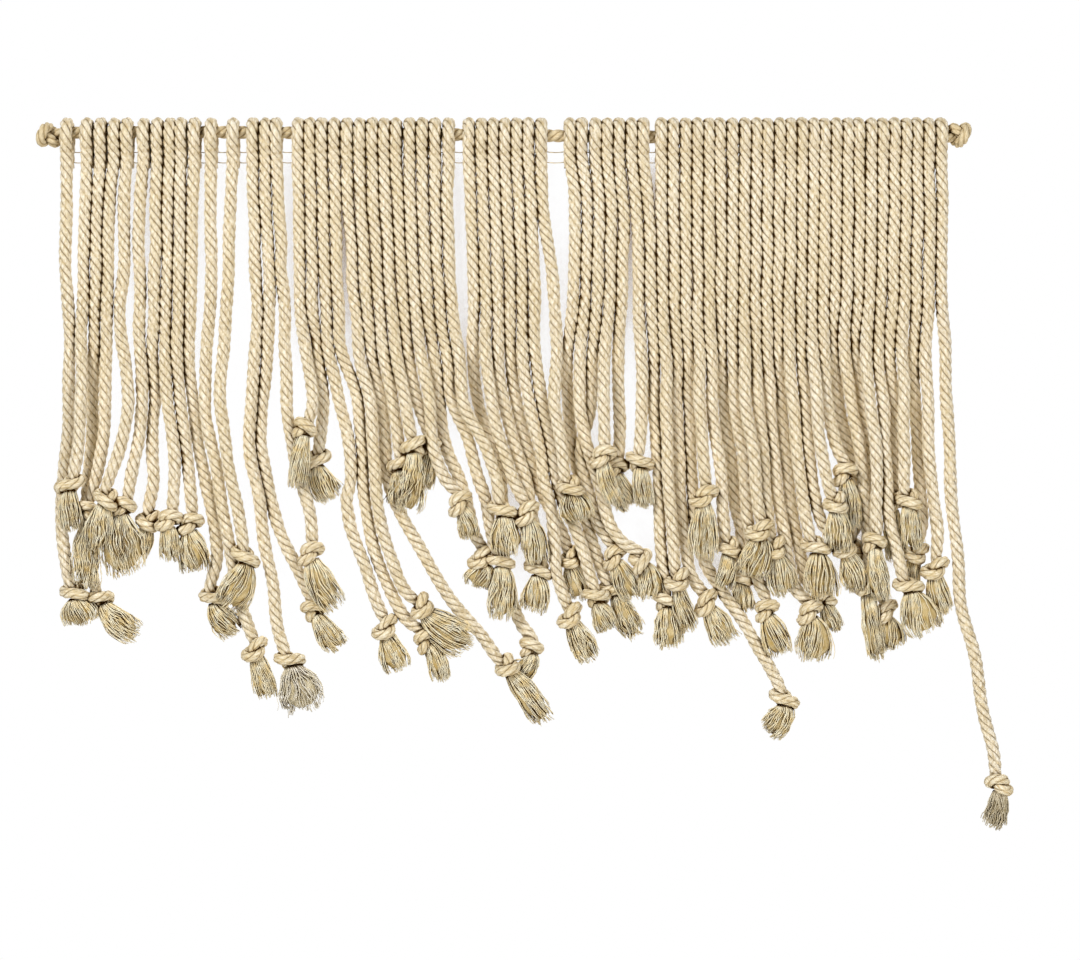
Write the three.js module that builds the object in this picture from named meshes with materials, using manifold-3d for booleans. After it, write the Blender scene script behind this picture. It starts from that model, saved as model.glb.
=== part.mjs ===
// A macrame door curtain: the lower part of a string curtain, in natural cotton.
// Sixty-seven twisted cords are folded over one holding cord, sewn behind it, and hang down.
// Each cord ends in one overhand knot and a tuft of its own unravelled strands.
// Millimetres, +Z up. The strings hang in the plane y = 0 and their front faces -Y.
// The origin is the middle of the top edge.
import * as THREE from "three";
import { mergeVertices } from "three/addons/utils/BufferGeometryUtils.js";
import Module from "manifold-3d";

const wasm = await Module();
wasm.setup();

// Driving sizes.
const CORD_DIAMETER = 5;
const HANG_DIAMETER = 4.4; // a hanging cord's solid, kept slimmer so that neighbours stay apart
const CORD_SIDES = 5;
const CORD_STEP = 34; // length of cord between two rings of its solid
const KNOT_ACROSS = 12;
const KNOT_ALONG = 10;
const TUFT_NECK = 5; // width of a tuft where it leaves the knot
const END_SIDES = 6; // sides of a knot and its tuft
const END_FLATNESS = 0.75; // depth of a knot or tuft over its width

// The heading: a row of cord heads over the holding cord, sewn together below it.
const HEADING_HEIGHT = 20;
const HEADING_NECK = 14; // how far down the heads close up again
const WRAP_RADIUS = CORD_DIAMETER * 1.5; // outside of a cord bent over a cord
const HOLDING_AXIS = { y: CORD_DIAMETER / 2, z: -WRAP_RADIUS };
const CHANNEL_CLEARANCE = 0.3;
const HOLDING_SIDES = 8;
const HOLDING_KNOT_GAP = 0.6;
const HOLDING_KNOT_SIZE = { across: 12, along: 10 };
const END_MARGIN = 2.6; // from the outer cord's centre line to the end of the heading

// The depth at which a string has moved to its own layer, in front of or behind its neighbours.
const LAYER_FROM = 85;
const LAYER_TO = 125;

// Depths below the top edge at which each string's x is given.
const LEVELS = [0, 36, 79, 100, 122, 143];

// One row for each string, from left to right:
// at    its x at each level, as far as it goes before its knot;
// low   the further points [x, z] that it passes on its way down;
// knot  the middle of its knot [x, z];
// tuft  the tip of its tuft [x, z] and the tuft's width there;
// deep  how far back its lower end lies.
const STRINGS = [
  { at: [-187.5, -187.5, -187.5, -186.5, -187, -188.5], low: [[-189, -156], [-189, -182], [-187, -197]],
    knot: [-184, -204.5], tuft: [-181, -218.5, 16], deep: 5 },
  { at: [-179, -179.5, -181, -181.5, -181.5, -182.5], low: [],
    knot: [-186, -158], tuft: [-184.5, -177.5, 9.5], deep: -4 },
  { at: [-173, -174, -175, -175.5, -176, -176.5], low: [[-178.5, -160], [-179, -173], [-177.5, -190]],
    knot: [-173, -207.5], tuft: [-157, -222.5, 13], deep: 8 },
  { at: [-167, -169, -170, -170, -170.5, -172.5], low: [[-175, -156]],
    knot: [-177.5, -170], tuft: [-180, -202.5, 11], deep: 1 },
  { at: [-161.5, -162.5, -163.5, -163.5, -162, -165], low: [[-169, -155]],
    knot: [-170.5, -164], tuft: [-175, -186, 11], deep: -6 },
  { at: [-154.5, -156, -156.5, -156.5, -156, -157.5], low: [[-160, -156]],
    knot: [-163, -168], tuft: [-162, -196.5, 19], deep: -2 },
  { at: [-148.5, -149, -150, -150.5, -150, -150.5], low: [[-150, -156]],
    knot: [-152.5, -173.5], tuft: [-156, -188.5, 9], deep: 3 },
  { at: [-143, -144, -144.5, -145.5, -144.5, -142], low: [[-141.5, -156]],
    knot: [-143.5, -173.5], tuft: [-142.5, -190.5, 9], deep: -3 },
  { at: [-138.5, -139, -139, -140, -139, -136.5], low: [[-134.5, -160]],
    knot: [-134.5, -175], tuft: [-132, -195.5, 13], deep: 0 },
  { at: [-132.5, -133, -133.5, -134.5, -132.5, -130], low: [[-127.5, -160], [-124.5, -173], [-123, -190]],
    knot: [-124, -206.5], tuft: [-115, -222.5, 12], deep: 4 },
  { at: [-125.5, -125.5, -125.5, -127, -127, -123.5], low: [[-121.5, -160], [-119, -177], [-113, -207.5]],
    knot: [-106.5, -229], tuft: [-101, -249.5, 9.5], deep: 0 },
  { at: [-116, -117, -118.5, -120, -120, -117.5], low: [[-115, -160], [-113, -173]],
    knot: [-110.5, -189], tuft: [-119, -210.5, 15.5], deep: -5 },
  { at: [-107.5, -107.5, -106, -106, -108.5, -108.5],
    low: [[-107, -156], [-104, -173], [-99.5, -199], [-96, -222.5]],
    knot: [-91.5, -233.5], tuft: [-84.5, -255, 19], deep: 0 },
  { at: [-102, -102, -100, -101, -103, -103.5], low: [[-99, -164.5], [-94, -182], [-86, -199]],
    knot: [-81, -212], tuft: [-70.5, -229, 11], deep: 4 },
  { at: [-97.5, -96, -94, -93.5, -92.5, -90.5], low: [[-86.5, -156], [-82.5, -173]],
    knot: [-82.5, -187.5], tuft: [-72, -211, 13], deep: -3 },
  { at: [-88, -88, -87.5, -85, -81.5], low: [],
    knot: [-85, -134.5], tuft: [-88, -159, 8.5], deep: -8 },
  { at: [-83, -83, -81.5, -80, -77, -75.5], low: [],
    knot: [-80, -147.5], tuft: [-73.5, -164.5, 12], deep: 2 },
  { at: [-78, -77.5, -75.5, -75, -70, -66],
    low: [[-65.5, -156], [-67.5, -164.5], [-66, -173], [-62, -186], [-54.5, -207.5]],
    knot: [-50.5, -219.5], tuft: [-45, -238, 12], deep: 0 },
  { at: [-72.5, -72, -70.5, -69, -62.5, -60.5],
    low: [[-60, -156], [-58.5, -173], [-55.5, -186], [-46.5, -207.5], [-40.5, -217]],
    knot: [-33, -225], tuft: [-26, -242, 9], deep: 1 },
  { at: [-67, -66.5, -63, -61.5, -57.5, -55.5], low: [[-54, -164.5], [-49, -186], [-42, -203.5]],
    knot: [-35, -210.5], tuft: [-14, -227, 15.5], deep: -3 },
  { at: [-61.5, -61, -58.5, -56.5, -52.5, -50.5],
    low: [[-49, -156], [-42.5, -173], [-35, -186], [-22.5, -207.5], [-9.5, -222.5]],
    knot: [1.5, -236.5], tuft: [18.5, -260, 11], deep: 4.5 },
  { at: [-56, -55.5, -53, -51.5, -47, -44.5], low: [],
    knot: [-44, -149.5], tuft: [-46, -167.5, 8], deep: -1.5 },
  { at: [-51, -50.5, -48, -46, -42], low: [],
    knot: [-38.5, -142], tuft: [-40.5, -170, 10], deep: -7 },
  { at: [-46, -45, -43, -41.5, -37], low: [],
    knot: [-32, -141.5], tuft: [-34, -159.5, 8], deep: -1 },
  { at: [-40, -40, -38, -36, -31.5, -29.5], low: [[-24.5, -156]],
    knot: [-18.5, -166], tuft: [-14, -181, 8.5], deep: -6 },
  { at: [-34.5, -34, -32.5, -30.5, -28, -23.5], low: [[-18, -156], [-14.5, -169], [-12, -179.5]],
    knot: [-9, -189.5], tuft: [-10.5, -202.5, 14.5], deep: 3 },
  { at: [-29, -28.5, -27.5, -25, -22.5, -14], low: [[-10.5, -156], [-7.5, -164.5], [-5, -177.5]],
    knot: [-1, -190.5], tuft: [-1, -215.5, 12], deep: 0.5 },
  { at: [-23, -23, -21.5, -20, -18, -7], low: [[-2.5, -156]],
    knot: [0, -169], tuft: [2.5, -188, 13.5], deep: -5 },
  { at: [-14.5, -13.5, -12.5, -13, -11, -4], low: [[-1, -156], [0, -182], [2.5, -203.5], [8, -218.5]],
    knot: [12.5, -229], tuft: [5, -242, 10], deep: 9 },
  { at: [-9, -8, -7, -6, -4, 0], low: [[4.5, -156]],
    knot: [10, -170.5], tuft: [15.5, -191.5, 11], deep: -4 },
  { at: [-4, -3, -2, -1.5, 1, 6], low: [[10, -156], [12.5, -169], [14.5, -182]],
    knot: [15.5, -194.5], tuft: [13, -212.5, 12], deep: 2 },
  { at: [1, 1.5, 3, 3.5, 6, 11], low: [[14.5, -156], [19.5, -167], [25, -177.5]],
    knot: [29, -189.5], tuft: [31.5, -207.5, 10], deep: 6 },
  { at: [6, 7, 9, 9, 11.5, 16], low: [[17.5, -156], [20.5, -164.5], [22, -182], [23.5, -197]],
    knot: [29, -214.5], tuft: [38, -233.5, 11], deep: -1 },
  { at: [11, 12, 14, 14.5, 17, 21], low: [[23, -156], [26.5, -167], [31, -175.5], [37.5, -197]],
    knot: [40.5, -206.5], tuft: [45.5, -220.5, 10], deep: 1 },
  { at: [16.5, 17, 22.5, 23, 23, 25.5], low: [],
    knot: [29, -159], tuft: [32.5, -174, 15.5], deep: -6 },
  { at: [29, 31.5, 30.5, 27.5, 28.5, 30.5], low: [[33.5, -156], [36.5, -175.5], [43, -196]],
    knot: [47.5, -203.5], tuft: [57.5, -224, 11], deep: 7 },
  { at: [34, 36.5, 35.5, 33.5, 33.5, 37], low: [[40, -154], [43, -164.5], [46.5, -175.5], [52, -183]],
    knot: [59.5, -190.5], tuft: [64.5, -207, 11], deep: -2.5 },
  { at: [40, 41.5, 40.5, 39, 37, 34], low: [[35, -154], [37.5, -164.5], [41.5, -175.5]],
    knot: [48, -189], tuft: [56, -207, 11], deep: 2.5 },
  { at: [45, 46, 46, 44, 43.5], low: [],
    knot: [43, -146], tuft: [49, -167, 8], deep: -8 },
  { at: [50, 51, 51, 51, 51], low: [],
    knot: [49, -151], tuft: [55, -168, 10], deep: 2 },
  { at: [55.5, 57.5, 60, 59.5, 60], low: [],
    knot: [59, -148.5], tuft: [62, -167.5, 9], deep: -3 },
  { at: [60.5, 62.5, 65, 66, 65.5, 66.5], low: [[67.5, -164.5], [68, -186]],
    knot: [70.5, -208.5], tuft: [72, -228, 13], deep: 1 },
  { at: [68.5, 69, 70, 70.5, 70.5, 71], low: [[71.5, -164.5], [73.5, -182]],
    knot: [75, -199], tuft: [80.5, -220.5, 8], deep: -3 },
  { at: [73.5, 74, 75, 75, 75, 75.5], low: [[76.5, -164.5], [78.5, -184], [81, -197]],
    knot: [87.5, -209], tuft: [97, -226, 12], deep: 2 },
  { at: [79, 79.5, 79.5, 80, 80, 80.5],
    low: [[81.5, -160], [83.5, -177.5], [86.5, -190.5], [95, -204.5], [104, -218.5], [116, -239]],
    knot: [121, -250.5], tuft: [114, -265, 13], deep: 4 },
  { at: [84, 84.5, 85, 84.5, 84.5, 86], low: [],
    knot: [86.5, -163], tuft: [86.5, -189.5, 13], deep: -6 },
  { at: [89, 89.5, 90, 89.5, 90.5, 92.5], low: [[94.5, -164.5]],
    knot: [97, -185], tuft: [95, -202.5, 8], deep: -2 },
  { at: [93.5, 94.5, 95, 94.5, 95.5, 98], low: [[100, -164.5], [103, -179.5]],
    knot: [102, -197.5], tuft: [105.5, -212.5, 9], deep: 6 },
  { at: [99, 100, 99.5, 99.5, 100, 103], low: [[105, -164.5], [106.5, -182], [110, -199]],
    knot: [113.5, -212], tuft: [120, -231, 12], deep: 1 },
  { at: [104.5, 104.5, 104.5, 104, 104.5, 107.5], low: [[109.5, -164.5]],
    knot: [110.5, -177.5], tuft: [107, -197.5, 16], deep: -6 },
  { at: [109.5, 110, 109.5, 109, 110, 112], low: [[113.5, -164.5]],
    knot: [116.5, -185.5], tuft: [122, -205, 13], deep: -2 },
  { at: [114, 114.5, 114, 113.5, 115, 116.5], low: [[118, -164.5], [123, -188.5], [126.5, -203.5]],
    knot: [132, -213], tuft: [133, -234, 16], deep: 2 },
  { at: [119.5, 120, 119, 118.5, 119.5, 121.5], low: [[123.5, -164.5], [128, -188.5], [131.5, -201]],
    knot: [138, -207.5], tuft: [142, -221.5, 9], deep: 6 },
  { at: [124, 124.5, 124, 123.5, 125, 126.5], low: [[129, -164.5]],
    knot: [134.5, -184.5], tuft: [138, -206, 14], deep: -4 },
  { at: [129, 129, 128.5, 128.5, 130, 131], low: [[134.5, -164.5], [138, -175.5]],
    knot: [146.5, -185], tuft: [151.5, -203.5, 11], deep: -2.5 },
  { at: [134, 134, 133, 133.5, 135, 137], low: [[139.5, -156]],
    knot: [143, -166], tuft: [143.5, -186, 11], deep: -8.5 },
  { at: [138.5, 138.5, 137.5, 137.5, 139.5, 144], low: [],
    knot: [147, -153.5], tuft: [150.5, -176.5, 9.5], deep: -2 },
  { at: [143.5, 143, 142, 142, 144.5, 149.5], low: [[152.5, -156], [152.5, -173]],
    knot: [150.5, -186], tuft: [154.5, -204.5, 8.5], deep: 8 },
  { at: [148.5, 148, 147, 147, 150, 154], low: [[155.5, -156], [156.5, -177.5]],
    knot: [157, -201], tuft: [161, -233.5, 8], deep: 2 },
  { at: [153, 153, 151.5, 152, 154.5, 157.5], low: [[157.5, -164.5], [159, -190.5]],
    knot: [164, -213], tuft: [168, -229, 13], deep: 7 },
  { at: [158.5, 158, 156.5, 156.5, 158.5, 161], low: [[161.5, -156], [160.5, -169]],
    knot: [160, -183], tuft: [163, -207.5, 9], deep: -5 },
  { at: [163.5, 163, 161.5, 161, 163, 164], low: [[165.5, -164.5], [168, -179.5]],
    knot: [174.5, -201.5], tuft: [183, -221.5, 17], deep: -3 },
  { at: [168.5, 168, 166.5, 166, 168, 168], low: [],
    knot: [167.5, -166.5], tuft: [169.5, -190.5, 9], deep: 3 },
  { at: [173.5, 172.5, 171, 171.5, 172.5, 172.5], low: [],
    knot: [174.5, -164.5], tuft: [177, -185.5, 9], deep: -4 },
  { at: [178, 177.5, 176.5, 176.5, 177.5, 178.5], low: [[180.5, -164.5], [180.5, -175.5]],
    knot: [177.5, -187.5], tuft: [175.5, -202.5, 7], deep: 5 },
  { at: [183, 182.5, 182, 182, 183, 183.5], low: [[185.5, -164.5], [187, -179.5]],
    knot: [186, -194], tuft: [190, -213.5, 10], deep: 0 },
  { at: [188.5, 188.5, 189, 190.5, 191, 192],
    low: [[193.5, -164.5], [195.5, -190.5], [197, -207.5], [202.5, -229], [205.5, -250.5], [211, -272]],
    knot: [213.5, -287], tuft: [210.5, -305.5, 10], deep: 0 },
];

const cotton = new THREE.MeshStandardMaterial({ color: 0xdccfb0, roughness: 0.95, metalness: 0 });
const holdingCotton = new THREE.MeshStandardMaterial({ color: 0xd8caa9, roughness: 0.95, metalness: 0 });

// A regular outline with the given number of sides.
function ring(diameter, sides) {
  const shape = new THREE.Shape();
  for (let i = 0; i < sides; i += 1) {
    const turn = (i * 2 * Math.PI) / sides;
    const x = (diameter / 2) * Math.cos(turn);
    const y = (diameter / 2) * Math.sin(turn);
    if (i === 0) shape.moveTo(x, y);
    else shape.lineTo(x, y);
  }
  shape.closePath();
  return shape;
}

function solid(geometry) {
  const bare = geometry.clone();
  bare.deleteAttribute("normal");
  bare.deleteAttribute("uv");
  const merged = mergeVertices(bare, 1e-4);
  return new wasm.Manifold(
    new wasm.Mesh({
      numProp: 3,
      vertProperties: new Float32Array(merged.attributes.position.array),
      triVerts: new Uint32Array(merged.index.array),
    }),
  );
}

function meshOf(name, body, material) {
  const { numProp, vertProperties, triVerts } = body.getMesh();
  const positions = new Float32Array((vertProperties.length / numProp) * 3);
  for (let i = 0; i * 3 < positions.length; i += 1) {
    positions.set(vertProperties.subarray(i * numProp, i * numProp + 3), i * 3);
  }
  const geometry = new THREE.BufferGeometry();
  geometry.setAttribute("position", new THREE.BufferAttribute(positions, 3));
  geometry.setIndex(new THREE.BufferAttribute(new Uint32Array(triVerts), 1));
  geometry.computeVertexNormals();
  const mesh = new THREE.Mesh(geometry, material);
  mesh.name = name;
  return mesh;
}

// How far back a string lies at a height z.
function layer(deep, z) {
  return deep * THREE.MathUtils.smoothstep(-z, LAYER_FROM, LAYER_TO);
}

// The line that a string's middle follows, from the neck of the heading to its knot.
function hangLine({ at, low, knot, deep }) {
  const fall = at.map((x, i) => [x, -LEVELS[i]]);
  const places = [...fall, ...low, knot];
  places[0] = [at[0], -HEADING_NECK];
  return new THREE.CatmullRomCurve3(
    places.map(([x, z]) => new THREE.Vector3(x, layer(deep, z), z)),
    false,
    "centripetal",
  );
}

function hangingCord(string) {
  const line = hangLine(string);
  return new THREE.ExtrudeGeometry(ring(HANG_DIAMETER, CORD_SIDES), {
    steps: Math.ceil(line.getLength() / CORD_STEP),
    extrudePath: line,
    bevelEnabled: false,
  });
}

// A knot and its tuft, turned on one axis that points down the tuft.
function knotAndTuft({ knot, tuft: [tipX, tipZ, width], deep }) {
  const [x, z] = knot;
  const length = Math.hypot(tipX - x, tipZ - z);
  const profile = [
    [0, -length],
    [width / 2, -length],
    [TUFT_NECK / 2, -KNOT_ALONG / 2],
    [KNOT_ACROSS / 2, 0],
    [0, KNOT_ALONG / 2],
  ];
  return new THREE.LatheGeometry(profile.map(([r, along]) => new THREE.Vector2(r, along)), END_SIDES)
    .rotateX(Math.PI / 2)
    .scale(1, END_FLATNESS, 1)
    .rotateY(Math.atan2(x - tipX, z - tipZ))
    .translate(x, layer(deep, z), z);
}

// The heads side by side: an outline in y and z, drawn along x.
function headingRow(fromX, toX) {
  const { y, z } = HOLDING_AXIS;
  const outline = new THREE.Shape();
  outline.absarc(y, z, WRAP_RADIUS, 0, Math.PI, false);
  outline.lineTo(-CORD_DIAMETER / 2, -HEADING_NECK);
  outline.lineTo(-CORD_DIAMETER / 2, -HEADING_HEIGHT);
  outline.lineTo(CORD_DIAMETER * 1.5, -HEADING_HEIGHT);
  outline.lineTo(CORD_DIAMETER * 1.5, -HEADING_NECK);
  outline.closePath();
  return new THREE.ExtrudeGeometry(outline, {
    depth: toX - fromX,
    bevelEnabled: false,
    curveSegments: HOLDING_SIDES,
  })
    .rotateX(Math.PI / 2)
    .rotateZ(Math.PI / 2)
    .translate(fromX, 0, 0);
}

function rodAlongX(diameter, fromX, toX) {
  return new THREE.CylinderGeometry(diameter / 2, diameter / 2, toX - fromX, HOLDING_SIDES)
    .rotateZ(Math.PI / 2)
    .translate((fromX + toX) / 2, HOLDING_AXIS.y, HOLDING_AXIS.z);
}

const headX = STRINGS.map(({ at }) => at[0]);
const headingFrom = Math.min(...headX) - END_MARGIN;
const headingTo = Math.max(...headX) + END_MARGIN;

function stringComb() {
  const channel = rodAlongX(CORD_DIAMETER + 2 * CHANNEL_CLEARANCE, headingFrom - 1, headingTo + 1);
  let comb = solid(headingRow(headingFrom, headingTo)).subtract(solid(channel));
  for (const string of STRINGS) {
    comb = comb.add(solid(hangingCord(string))).add(solid(knotAndTuft(string)));
  }
  return comb;
}

// The holding cord runs through all the heads, with a knot at each end to keep them on.
function holdingCord() {
  const reach = HOLDING_KNOT_GAP + HOLDING_KNOT_SIZE.along / 2;
  const ends = [headingFrom - reach, headingTo + reach];
  let cord = solid(rodAlongX(CORD_DIAMETER, ...ends));
  for (const x of ends) {
    const knot = new THREE.IcosahedronGeometry(1, 0)
      .scale(HOLDING_KNOT_SIZE.along / 2, HOLDING_KNOT_SIZE.across / 2, HOLDING_KNOT_SIZE.across / 2)
      .translate(x, HOLDING_AXIS.y, HOLDING_AXIS.z);
    cord = cord.add(solid(knot));
  }
  return cord;
}

const curtain = new THREE.Group();
curtain.add(
  meshOf("string_comb", stringComb(), cotton),
  meshOf("holding_cord", holdingCord(), holdingCotton),
);

export default curtain;
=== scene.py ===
"""A macrame door curtain: the lower part of a string curtain in natural cotton.

Sixty-seven four-strand cords are folded over one holding cord and sewn behind it. Each hangs
down to an overhand knot and a tuft of its own unravelled yarns. Sizes are written in
millimetres and turned to metres where a mesh is made. +Z is up, and the front faces -Y.
"""

import math
import random
from collections import namedtuple

import bmesh
import bpy
import numpy as np
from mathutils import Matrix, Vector


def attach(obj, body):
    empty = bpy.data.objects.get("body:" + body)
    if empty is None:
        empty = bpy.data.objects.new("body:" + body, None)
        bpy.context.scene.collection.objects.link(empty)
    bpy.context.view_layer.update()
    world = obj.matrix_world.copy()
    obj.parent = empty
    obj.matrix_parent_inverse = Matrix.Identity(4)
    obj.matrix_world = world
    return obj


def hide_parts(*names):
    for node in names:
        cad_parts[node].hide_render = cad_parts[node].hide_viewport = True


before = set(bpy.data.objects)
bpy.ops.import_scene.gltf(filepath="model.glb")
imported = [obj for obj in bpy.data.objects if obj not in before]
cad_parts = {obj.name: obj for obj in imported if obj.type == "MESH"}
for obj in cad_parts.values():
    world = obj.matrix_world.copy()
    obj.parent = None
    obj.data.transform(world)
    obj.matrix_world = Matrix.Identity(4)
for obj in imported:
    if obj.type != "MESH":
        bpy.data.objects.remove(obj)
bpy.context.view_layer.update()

MM = 0.001

# The cord.
CORD_DIAMETER = 5.0
CREST_RADIUS = 2.8  # from the middle to the crest of a strand, in a cord that hangs free
LAY_LENGTH = 16.0  # length of cord in which a strand goes once round
LAY_WAY = -1.0  # the strands run down to the right in front
STRANDS = 4
GROOVE_DEPTH = 0.28  # depth of the groove between two strands, over the crest radius
PRESSED_GROOVE_DEPTH = 0.15  # the same in a knot, where the cord is squeezed
POINTS_ON_STRAND = 5
STRAND_FULLNESS = 2.2  # the higher, the fuller a strand is beside its groove
RING_STEP = 1.4  # length of cord between two rings of its mesh
UNEVEN = 0.035  # how much the cord's thickness varies
UNEVEN_OVER = (9, 40)  # shortest and longest length of cord over which it does
TWIST_SHARE = 0.41  # how far the twist of each cord is ahead of the one beside it, in strands

# The heading.
HEADING_HEIGHT = 20.0
HEAD_FRONT = 17.0  # how far down the front of a head hangs straight
HEAD_CORD = 45.0  # length of cord in a head and its tail
HOLDING_Y = CORD_DIAMETER / 2  # the holding cord's middle line
HOLDING_Z = -1.5 * CORD_DIAMETER
TAIL_Y = CORD_DIAMETER
TAIL_END = -21.5  # the height of the tails' cut ends
END_MARGIN = 2.6  # from the middle of an outer head to the end of the heading
HOLDING_KNOT_GAP = 0.6  # from there to the holding cord's knot
HOLDING_KNOT_ALONG = 10.0
HOLDING_KNOT_HALF = 9.0  # how far a knot's tight turns reach along the holding cord
STITCH_ROWS = {"upper": -14.0, "lower": -18.5}  # the height of each row of thread
STITCH_DIP = (1.2, -0.7)  # how a stitch lies between two tails: off their middle, and lower
STITCH_STEP = 0.8  # length of thread between two rings of its mesh
THREAD_SIZE = 0.9  # thickness of the sewing thread over a yarn's
THREAD_ROOM = 0.1  # between the thread's middle line and the tails

# How a string hangs. Lengths are along its cord.
LAYER_FROM = 85.0  # how far down a string starts to move to its own layer
LAYER_TO = 125.0  # and how far down it has got there
WANDER = 0.3  # how far a hanging cord wanders off its line
WANDER_ACROSS = (28, 60)  # shortest and longest length over which it does, sideways
WANDER_DEEP = (30, 60)  # the same to the front and back
WANDER_FROM = 30.0  # how far below the heading it starts, and how much further it is full
WANDER_END = 8.0  # how far above its knot it ends
WANDER_FADE = 20.0  # and how much higher it is full
OWN_DEPTH = 0.4  # how far a cord lies in front of or behind its neighbours

# How strings settle against their neighbours. It is worked out at every step between two levels.
SETTLED_FROM = 22.0
SETTLED_TO = 230.0
SETTLE_STEP = 3.0
SETTLE_ROUNDS = 60
SETTLE_TOP = (18.0, 20.0)  # how far down settling starts, and how much further it is full
SETTLE_END = (14.0, 24.0)  # the same upwards from a string's lower end
PRESSED_PITCH = 5.2  # how close two cords come where they touch
PUSHED = 0.45  # share of an overlap by which each of two cords gives way in a round
DRAWN = 0.2  # share of a gap by which each of two cords that are drawn together moves
DRAWN_FROM = 6.3  # neighbours nearer than this are drawn together until they touch
LAYERED_FROM = 7.6  # the same where one hangs behind the other
OWN_LAYER = 3.0  # cords further apart in depth than this may hang one behind the other
MOST_SHIFT = 1.5  # how far a cord gives way to its neighbours
MOST_FILL = 1.07  # how much a soft cord widens to fill the room between two neighbours
MOST_ROOM = 1.15  # the widest room that is filled, over the pressed pitch

# Levels below the top edge at which each string's x is given.
LEVELS = (0, 36, 79, 100, 122, 143)

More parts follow.
